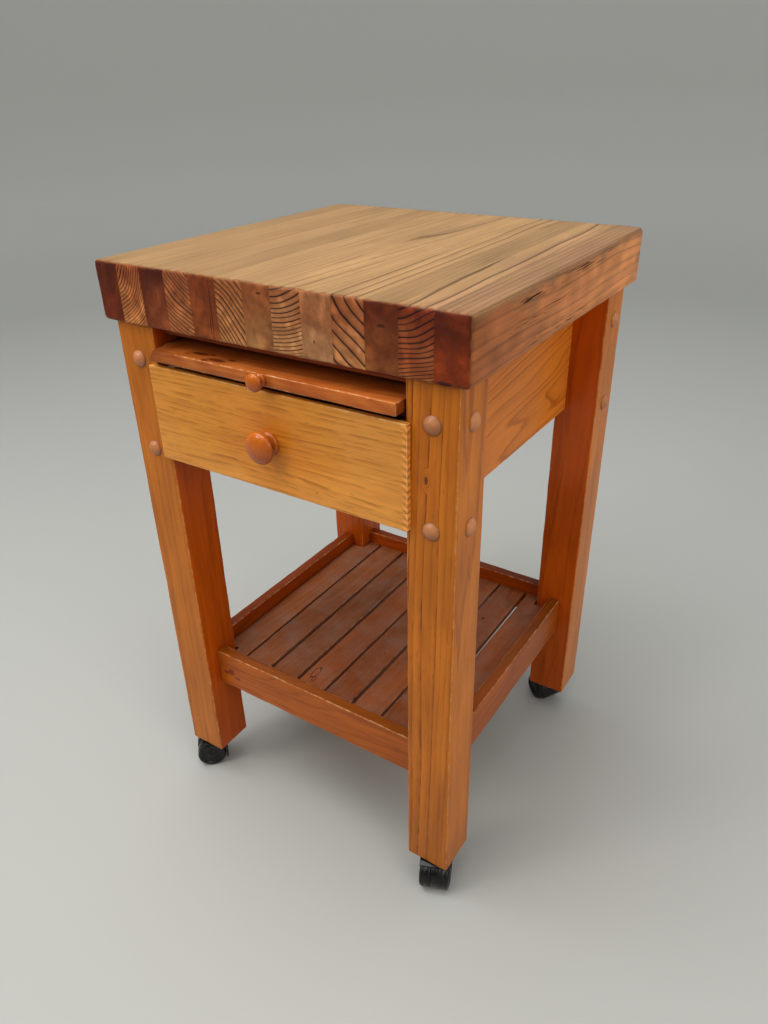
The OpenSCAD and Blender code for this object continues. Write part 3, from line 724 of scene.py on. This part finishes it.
def turned(name, profile, segments, finish):
    """A solid turned about Z from (radius, height) pairs in mm, listed from the top down."""
    mesh = bpy.data.meshes.new("profile")
    mesh.from_pydata([(r * MM, -z * MM, 0) for r, z in profile],
                     [(k, k + 1) for k in range(len(profile) - 1)], [])
    return grow(name, put("profile", mesh), lathe, Segments=segments, Finish=finish)


def plug_places():
    """Geometry Nodes that set a plug at two heights on both outer faces of four legs."""
    tree, given = new_tree("plugs on four legs", Across="Float", Deep="Float", Middle="Vector",
                           Half_leg="Float", Pitch="Vector", Seed="Int")
    legs = add(tree, "GeometryNodeMeshGrid", Vertices_X=2, Vertices_Y=2, Size_X=given["Across"],
               Size_Y=given["Deep"])[0]
    levels = add(tree, "GeometryNodeMeshLine", mode="OFFSET", Count=2, Offset=given["Pitch"])[0]
    stack = add(tree, "GeometryNodeInstanceOnPoints", Points=levels, Instance=legs)[0]
    spots = add(tree, "GeometryNodeRealizeInstances", Geometry=stack)[0]
    here = add(tree, "GeometryNodeInputPosition")[0]
    sign = add(tree, VECTOR, here, op="SIGN")[0]
    spin = add(tree, "FunctionNodeRandomValue", 0.0, 6.28, data_type="FLOAT", Seed=given["Seed"])[1]
    twist = add(tree, "FunctionNodeAxisAngleToRotation", Axis=(0, 0, 1), Angle=spin)[0]
    both = add(tree, "GeometryNodeJoinGeometry")[0]
    for axis in ((1, 0, 0), (0, 1, 0)):
        way = add(tree, VECTOR, sign, axis, op="MULTIPLY")[0]
        out = add(tree, VECTOR, way, given["Half leg"], op="SCALE")[0]
        face = add(tree, "GeometryNodeSetPosition", Geometry=spots, Offset=out)[0]
        turn = add(tree, "FunctionNodeAlignRotationToVector", axis="Z", Vector=way)[0]
        turn = add(tree, "FunctionNodeRotateRotation", rotation_space="LOCAL", Rotation=turn,
                   Rotate_By=twist)[0]
        plugs = add(tree, "GeometryNodeInstanceOnPoints", Points=face, Instance=given["Geometry"],
                    Rotation=turn)[0]
        tree.links.new(plugs, both.node.inputs[0])
    moved = add(tree, "GeometryNodeSetPosition", Geometry=numbered(tree, both), Offset=given["Middle"])[0]
    return send_out(tree, moved, given["Finish"])


PLUG_R = 12
SOCKET = 0.4  # how far a plug goes into the leg
# bare beech under clear varnish: the eye gets pale pinkish domes, each with a soft gleam
plug_beech = pine("polished beech plugs", "#B7754A", "#9B5C35", gap=3.0, rings=0.35, clouds=0.22,
                  worn="#EBC9A4", wear=0.3, rough=0.33, specks=0.3, coat=0.3)
leg_low, leg_high = place("leg_fl")
far_high = place("leg_br")[1]
plug_low, plug_high = place("plugs")
plug_tall = leg_low[1] - plug_low[1]
dome_r = (PLUG_R ** 2 + plug_tall ** 2) / (2 * plug_tall)
dome_edge = math.asin(PLUG_R / dome_r)
dome = [(0, plug_tall)]
for k in range(1, 8):
    angle = dome_edge * k / 8
    dome.append((dome_r * math.sin(angle), dome_r * (math.cos(angle) - math.cos(dome_edge))))
dome += [(PLUG_R - 0.15, 0.45), (PLUG_R, 0.1), (PLUG_R - 0.3, -SOCKET), (0, -SOCKET)]
blank = turned("plug", dome, 28, plug_beech)
shape = points_of(blank.data)
rim = np.clip((np.linalg.norm(shape[:, :2], axis=1) - 9) / 3, 0, 1)
log = np.stack([shape[:, 0], shape[:, 2] + 30, shape[:, 1]], 1)
write(blank.data, timber=log, stain=np.ones_like(shape), arris=rim * 0.5, endgrain=0 * rim, bold=0 * rim + 1)
half = (leg_high[0] - leg_low[0]) / 2
middle = (0, (leg_low[1] + far_high[1]) / 2 * MM, (plug_low[2] + PLUG_R) * MM)
made = grow("leg_plugs", blank, plug_places(), Across=(far_high[0] - leg_low[0] - 2 * half) * MM,
            Deep=(far_high[1] - leg_low[1] - 2 * half) * MM, Middle=middle, Half_leg=half * MM,
            Pitch=(0, 0, (plug_high[2] - plug_low[2] - 2 * PLUG_R) * MM), Seed=3, Finish=plug_beech)
number = numbers_of(made.data)
log = np.empty(len(made.data.vertices) * 3)
made.data.attributes["timber"].data.foreach_get("vector", log)
log = log.reshape(-1, 3)
log[:, 2] += 61 * number
# each plug differs a little; those at the sides are paler; each is darker round the joint, and painted
# highlight and painted shade make the top of its dome lighter and its lower half darker
shape = points_of(made.data)
hub = np.stack([shape[number == k].mean(0) for k in range(16)])[number]
level = (shape[:, 2] - hub[:, 2]) / PLUG_R
joint = np.clip((np.linalg.norm(shape - hub, axis=1) - 10.6) / 1.2, 0, 1)
shade = (1 + 0.12 * np.sin(5.1 * number)) * (1 + 0.3 * level) * (1 - 0.55 * joint)
shade = shade * (1 + 0.22 * (np.abs(hub[:, 0]) > -leg_low[0]))
plug_tint_and_painted_light = np.stack([shade, shade * (1 + 0.08 * level), shade * (1 + 0.15 * level)], 1)
write(made.data, timber=log, stain=plug_tint_and_painted_light)
finish_off(made, "cart", "plug_wood", "plugs")

# ---- Drawer ----
# A pine front, whose lip laps the legs, on an inner layer between the sides; sides and back
# are plywood 12 mm thick and the bottom is let into grooves. The front is the palest, most
# even board of the cart, quarter-sawn, and its ends show slanting rings.

# clear varnish on straight grain: the eye gets yellow wood with short soft brown lines
front_pine = pine("varnished quarter-sawn pine", "#DA8F35", "#8A470D", gap=6.7, rings=0.62,
                  streaks=0.2, worn="#EFC98C", wear=0.7, rough=0.3, end="#FFFFFF",
                  end_share=0.0, specks=0.15, flame=0.35, deep="#C07228", broken=0.85, uneven=1.2,
                  faint=0.5, soft=0.7, marks=(((70, -254.5, 645), (1.2, 3, 1.2), "#5A2A10", "mark"),))
low, high = place("drawer_front")
sides_low, sides_high = place("drawer_left")
LIP = 8.7  # the lip's thickness
INNER_X = 188.5  # the inner layer reaches this far from the middle


def front_tone(points, low, high):
    """The sawn ends stayed pale, and hands have darkened the varnish round the knob."""
    away = np.hypot(points[:, 0] / 75, (points[:, 2] - (low[2] + high[2]) / 2) / 55)
    tone = 1 - np.exp(-away ** 2)[:, None] * (0.06, 0.24, 0.5)
    # washed and pinkish at the foot and towards the right
    washed = np.clip((low[2] + 60 - points[:, 2]) / 60, 0, 1) + np.clip((points[:, 0] - 60) / 140, 0, 1)
    washed = column(washed + 0.5 * ripple(points * (0.5, 1, 1.6), 96, 60))
    tone = tone * (1 + washed * (0.06, 0.1, 0.5))
    # slanting rings show pale round the arris of the right-hand end
    ends = column((5.5 - high[0] + points[:, 0]) / 2)
    slant = np.sqrt(0.5 + 0.5 * np.cos(TURN * (points[:, 2] + 0.9 * points[:, 0]) / 9))[:, None]
    pale = slant * (0.85, 1.0, 1.9) + (0.6, 0.5, 0.5)
    return tone * (1 - ends) + pale * ends


lip = plank("lip", low, (high[0], low[1] + LIP, high[2]), 0, front_pine, 1.6, 2.2, 0.3, (95, -175),
            (0.004, 0.01), 4, 71, front_tone)
inner = plank("inner", (-INNER_X, low[1] + LIP, sides_low[2] + 0.5), (INNER_X, high[1], sides_high[2]),
              0, front_pine, 0.6, 9, 0.2, (95, -175), (0.004, 0.01), 4, 71)
finish_off(joined("drawer_front_board", [lip, inner]), "drawer", "pine_front", "drawer_front")

# ---- Drawer box ----
# Birch plywood: pale, close-grained faces and striped edges, only dusted and never varnished.
# Sides, back and bottom are glued and pinned together behind the front.

# unfinished birch: the eye gets flat, pale, close-grained wood with browner edges
box_ply = pine("birch plywood", "#D9B98A", "#BF9562", gap=11.0, rings=0.35, streaks=0.18,
               clouds=0.14, worn="#E6CDA4", wear=0.4, rough=0.6, end="#A98458", relief=0.2)
for n, (side, grain, edge) in enumerate((("left", 1, 0.7), ("right", 1, 0.7), ("back", 0, 0.7),
                                         ("bottom", 0, 0.4))):
    low, high = place("drawer_" + side)
    made = plank("drawer_" + side + "_panel", low, high, grain, box_ply, edge, 10, 0.2,
                 (40 + 9 * n, 90), (0.03, 0.06), 6, 75 + n)
    finish_off(made, "drawer", "plywood", "drawer_" + side)

# ---- Knobs ----
# Turned beech mushroom knobs: a foot ring, a neck groove and a domed cap, stained red-brown and
# glossy from hands. The drawer's is 42 mm across and the board's 23 mm.

# stained beech, polished by use: the eye gets a deep orange-brown with sharp gleams
knob_beech = pine("turned beech, glossy", "#B5570B", "#903D05", gap=2.6, rings=0.4, clouds=0.15,
                  worn="#D39A6A", wear=0.35, rough=0.26, relief=0.15, coat=0.5)


def mushroom(name, node, body, seed, tang):
    """A knob turned to the box of its CAD node, standing out towards -Y, with its tang left plain."""
    low, high = place(node)
    r = (high[0] - low[0]) / 2
    tall = high[1] - low[1] - tang
    profile = [(0, tall)]
    for swell, angles in ((0.3, (82, 74, 65, 56, 46, 36, 27, 18, 10, 4)),
                          (0.26, (-3, -12, -24, -38, -52, -62))):
        profile += [(r * math.cos(a), (0.7 + swell * math.sin(a)) * tall) for a in np.radians(angles)]
    # the neck, the foot ring and the face that meets the wood, as shares of the cap and the height
    profile += [(x * r, y * tall) for x, y in (
        (0.5, 0.385), (0.47, 0.34), (0.48, 0.3), (0.54, 0.255), (0.66, 0.22), (0.74, 0.18), (0.78, 0.12),
        (0.78, 0.06), (0.74, 0.01), (0.7, 0.0), (0.24, 0.0))]
    profile += [(0.24 * r, -tang + 1), (0, -tang + 1)]
    made = turned(name, profile, 64, knob_beech)
    here = points_of(made.data)
    log = np.stack([here[:, 0] + 14, here[:, 1] - 4, here[:, 2] + 90 * seed], 1)
    ring = np.clip(1 - abs(np.linalg.norm(here[:, :2], axis=1) - r) / 1.5, 0, 1)
    # painted shade and painted highlight: darker in the neck groove and below, lighter at the top and
    # towards the left
    level = here[:, 1] / r
    neck = np.exp(-((here[:, 2] / tall - 0.33) / 0.12) ** 2)
    shade = (1 + 0.28 * level - 0.14 * here[:, 0] / r) * (1 - 0.5 * neck)
    write(made.data, timber=log, arris=0.6 * ring, endgrain=0 * ring, bold=0 * ring + 1,
          stain=np.stack([shade, shade * (1 + 0.12 * level), shade * (1 + 0.2 * level)], 1))
    made.data.transform(Matrix.Rotation(math.pi / 2, 4, "X"))
    centre = (low + high) / 2 * MM
    made.data.transform(Matrix.Translation((centre[0], (high[1] - tang) * MM, centre[2])))
    finish_off(made, body, "knob_wood", node)


mushroom("drawer_pull", "drawer_knob", "drawer", 1, 13)
mushroom("board_pull", "board_knob", "board", 2, 12)

# ---- Pull-out board ----
# A pine board, 16 mm thick, sliding on guides over the drawer, grain side to side. Its front
# arris is rounded by use and browner at the left end, where there is a dark knot.
low, high = place("board")
# worn varnish: the eye gets patchy red-brown, dark knocks and a pale line along the front arris
board_pine = pine("worn varnished pine board", "#B06229", "#74320A", gap=7.0, rings=0.5,
                  streaks=0.35, clouds=0.35, worn="#DDA871", wear=0.85, rough=0.38, specks=0.4,
                  flame=0.45, broken=0.4,
                  marks=[((x, y, high[2]), size, "#4E1A0A", "mark") for x, y, size in (
                      (-78, -249, (15, 5, 4)), (-114, -240, (14, 5, 4)), (-92, -256, (6, 3, 3)),
                      (-60, -241, (7, 3, 3)), (-96, -236, (5, 2.6, 3)), (-130, -247, (4, 2, 3)))])
CHIPPED = 27  # mm of the front arris at its left end that are worn round and brown


def board_tone_and_painted_shade(points, low, high):
    """Darker towards the left end, as painted shade beside the leg over an end that is also browner with
    wear, and patchy along the front where hands pull it.
    """
    # painted shade: the left end, beside the leg, is darkened; it is also browner with wear
    left = np.clip(1.6 - (points[:, 0] - low[0]) / 30, 0, 1)
    front = np.clip(1 - (points[:, 1] - low[1]) / 90, 0, 1)
    dark = (1 - 0.3 * left - 0.05 * front)[:, None]
    patchy = 1 + 0.35 * ripple(points, 97, 26)[:, None] * front[:, None] * (0.6, 1.0, 1.3)
    return dark * patchy * (1.1, 1.0, 0.92)


def board_soft(points, low, high):
    """The left end of the front arris is worn round."""
    left = np.clip(1 - (points[:, 0] - low[0] - CHIPPED) / 5, 0, 1)
    upper = np.clip((points[:, 2] - low[2] - 4) / 6, 0, 1) * (points[:, 1] < low[1] + 30)
    return 8.0 * left * upper


made = plank("pull_out_board", low, high, 0, board_pine, 1.9, 9, 0.45, (30, 75), (0.03, 0.02), 5, 81,
             board_tone_and_painted_shade, 1.6, soften=board_soft)
here = points_of(made.data)
write(made.data, arris=arris(here, low, high, 4.2) * np.clip((here[:, 0] - low[0] - CHIPPED) / 8, 0, 1))
finish_off(made, "board", "pine_board", "board")

# ---- Casters ----
# Twin-wheel swivel casters: a moulded black nylon hood on a zinc-plated pin, and two black
# wheels 50 mm across on stub axles. They are slightly glossy, scuffed grey, with floor dust.


def nylon(name, base, dust, rough):
    """Moulded black nylon: a soft sheen, a fine moulding grain and grey dust in its hollows."""
    made, t = new_finish(name)
    at = add(t, "ShaderNodeTexCoord")["Object"]
    # cells to the metre: dust films 14 mm across, a moulding grain of 1 mm and scuffs of 4 mm; the
    # real grain is finer, and is drawn as coarse as it needs to be to show
    film = add(t, NOISE, Vector=at, Scale=70.0, Detail=5.0, Roughness=0.7)["Fac"]
    film = add(t, RAMP, film, 0.45, 0.8, 0.0, 0.55)[0]
    grain = add(t, NOISE, Vector=at, Scale=900.0, Detail=2.0)["Fac"]
    scuff = add(t, NOISE, Vector=at, Scale=260.0, Detail=3.0, Distortion=1.5)["Fac"]
    scuff = add(t, RAMP, scuff, 0.62, 0.72, 0.0, 0.35)[0]
    veil = add(t, MATH, film, scuff, op="MAXIMUM")[0]
    colour = add(t, MIX, veil, base, dust, data_type="RGBA")[2]
    gloss = add(t, RAMP, veil, 0.0, 1.0, rough, rough + 0.35)[0]
    bump = add(t, "ShaderNodeBump", Strength=0.3, Distance=0.0003, Height=grain)[0]
    shader = add(t, "ShaderNodeBsdfPrincipled", Base_Color=colour, Roughness=gloss, Normal=bump, IOR=1.5,
                 Specular_IOR_Level=0.35)
    add(t, "ShaderNodeOutputMaterial", Surface=shader[0])
    return made


# hoods catch the light on their shoulders; wheels are duller, with more dust
hood_nylon = nylon("moulded black nylon hood", "#050505", "#2B2622", 0.24)
wheel_nylon = nylon("black nylon wheel", "#040404", "#27221E", 0.28)
WHEEL_W = 17.0
# from the middle of the outer face out to the tread, round it, and back to the bore
wheel_profile = [(0, WHEEL_W), (4.6, WHEEL_W), (5.2, 16.6), (7.6, 16.4), (8.4, 15.6), (9.4, 14.9),
                 (15.8, 14.6), (17.0, 15.0), (17.8, 16.4), (18.6, WHEEL_W), (20.6, WHEEL_W), (22.4, 16.5),
                 (23.9, 15.4), (24.7, 13.8), (25.0, 12.0), (25.0, 9.6), (24.6, 9.2), (24.6, 8.6),
                 (25.0, 8.2), (25.0, 1.2), (24.2, 0.2), (23.4, 0.0), (4.1, 0.0), (4.0, 0.3), (4.0, 11.5),
                 (0, 11.5)]
for corner in ("fl", "fr", "bl", "br"):
    wheels = ["wheel_%s_%s" % (corner, side) for side in "ab"]
    centres = [sum(place(wheel)) / 2 for wheel in wheels]
    axle = (centres[0] - centres[1]) / np.linalg.norm(centres[0] - centres[1])
    for wheel, centre, out in zip(wheels, centres, (axle, -axle)):
        made = turned("caster_" + wheel, wheel_profile, 40, wheel_nylon)
        made.data.transform(Vector(out).to_track_quat("Z", "Y").to_matrix().to_4x4())
        made.data.transform(Matrix.Translation((centre - out * WHEEL_W / 2) * MM))
        finish_off(made, wheel, "caster_plastic", wheel)
    # the hood: the moulding's own form with its sharp edges broken
    made = put("caster_hood_" + corner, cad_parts["hood_" + corner].data.copy())
    weld = made.modifiers.new("weld", "WELD")
    weld.merge_threshold = 0.02 * MM
    flats = made.modifiers.new("flats", "DECIMATE")
    flats.decimate_type = "DISSOLVE"
    flats.angle_limit = math.radians(0.5)
    soft = made.modifiers.new("broken edges", "BEVEL")
    soft.width = 0.7 * MM
    soft.segments = 2
    soft.limit_method = "ANGLE"
    soft.angle_limit = math.radians(35)
    ready = made.evaluated_get(bpy.context.evaluated_depsgraph_get())
    mesh = bpy.data.meshes.new_from_object(ready)
    made.modifiers.clear()
    made.data = mesh
    mesh.materials.clear()
    mesh.materials.append(hood_nylon)
    finish_off(made, "swivel_" + corner, "caster_plastic", "hood_" + corner)

# ---- Caster pins ----
# Zinc-plated steel pins driven up into the legs, with a thrust collar under the wood.
# They stand still while the hoods swivel round them.

# plated and dulled by handling: the eye gets blue-grey metal with cloudy patches 4 mm across
zinc, t = new_finish("zinc-plated steel")
at = add(t, "ShaderNodeTexCoord")["Object"]
bloom = add(t, NOISE, Vector=at, Scale=240.0, Detail=4.0)["Fac"]
colour = add(t, MIX, bloom, "#A9ABAE", "#7B7874", data_type="RGBA")[2]
gloss = add(t, RAMP, bloom, 0.0, 1.0, 0.25, 0.55)[0]
shader = add(t, "ShaderNodeBsdfPrincipled", Metallic=1.0, Base_Color=colour, Roughness=gloss)
add(t, "ShaderNodeOutputMaterial", Surface=shader[0])
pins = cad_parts["caster_stems"]
pins.data.materials.clear()
pins.data.materials.append(zinc)

# ---- Floor, light and camera ----
# A plain pale floor that runs to the back, soft lamps overhead and in front, and a camera at
# standing height in front of the cart's right corner.
sweep = [(0, 0), (3.6, 0), (4.0, 0.04), (4.3, 0.14), (4.55, 0.32), (4.7, 0.6), (4.75, 1.0), (4.75, 4.6)]
AROUND = 72
points, faces = [(0, 0, 0)], []
for r, z in sweep[1:]:
    points += [(r * math.cos(TURN * k / AROUND), r * math.sin(TURN * k / AROUND), z) for k in range(AROUND)]
for k in range(AROUND):
    after = (k + 1) % AROUND
    faces.append((0, 1 + k, 1 + after))
    for ring in range(len(sweep) - 2):
        a = 1 + ring * AROUND
        faces.append((a + k, a + AROUND + k, a + AROUND + after, a + after))
# matt paint: the eye gets a plain light grey with soft shadows
pale, t = new_finish("pale painted floor")
shader = add(t, "ShaderNodeBsdfPrincipled", Base_Color="#B5B5B0", Roughness=0.6)
add(t, "ShaderNodeOutputMaterial", Surface=shader[0])
mesh = bpy.data.meshes.new("floor")
mesh.from_pydata(points, [], faces)
mesh.polygons.foreach_set("use_smooth", [True] * len(mesh.polygons))
mesh.materials.append(pale)
put("floor", mesh)

world = bpy.data.worlds.new("soft room")
bpy.context.scene.world = world
world.use_nodes = True
world.node_tree.nodes["Background"].inputs["Color"].default_value = [*linear("#EEF2F6"), 1]
world.node_tree.nodes["Background"].inputs["Strength"].default_value = 0.9


def lamp(name, at, aim, size, power, tint):
    """A square soft lamp at one point, aimed at another."""
    light = bpy.data.lights.new(name, "AREA")
    light.shape = "SQUARE"
    light.size = size
    light.energy = power
    light.color = linear(tint)
    made = put(name, light)
    made.location = at
    made.rotation_mode = "QUATERNION"
    made.rotation_quaternion = (Vector(aim) - Vector(at)).to_track_quat("-Z", "Y")


lamp("overhead", (-0.5, -0.7, 3.0), (0, 0, 0.5), 2.2, 58, "#FFFFFF")
lamp("front", (-1.6, -2.6, 2.4), (0, 0, 0.6), 0.9, 22, "#FFF8EE")
lamp("right", (3.0, -1.2, 2.2), (0, 0, 0.6), 1.8, 28, "#FFFAF2")

camera = put("camera", bpy.data.cameras.new("camera"))
yaw, pitch, roll = (math.radians(a) for a in (-33.595, -29.367, -1.250))
ahead = Vector((math.sin(yaw) * math.cos(pitch), math.cos(yaw) * math.cos(pitch), math.sin(pitch)))
level = Vector((math.cos(yaw), -math.sin(yaw), 0))
above = level.cross(ahead)
across = math.cos(roll) * level + math.sin(roll) * above
upward = -math.sin(roll) * level + math.cos(roll) * above
camera.matrix_world = Matrix.Translation((0.6039, -0.9116, 1.0909)) @ Matrix(
    (across, upward, -ahead)).transposed().to_4x4()
camera.data.sensor_fit = "VERTICAL"
camera.data.sensor_height = 24
camera.data.lens = 18.301
camera.data.clip_start = 0.01
bpy.context.scene.camera = camera
bpy.context.scene.view_settings.view_transform = "Standard"
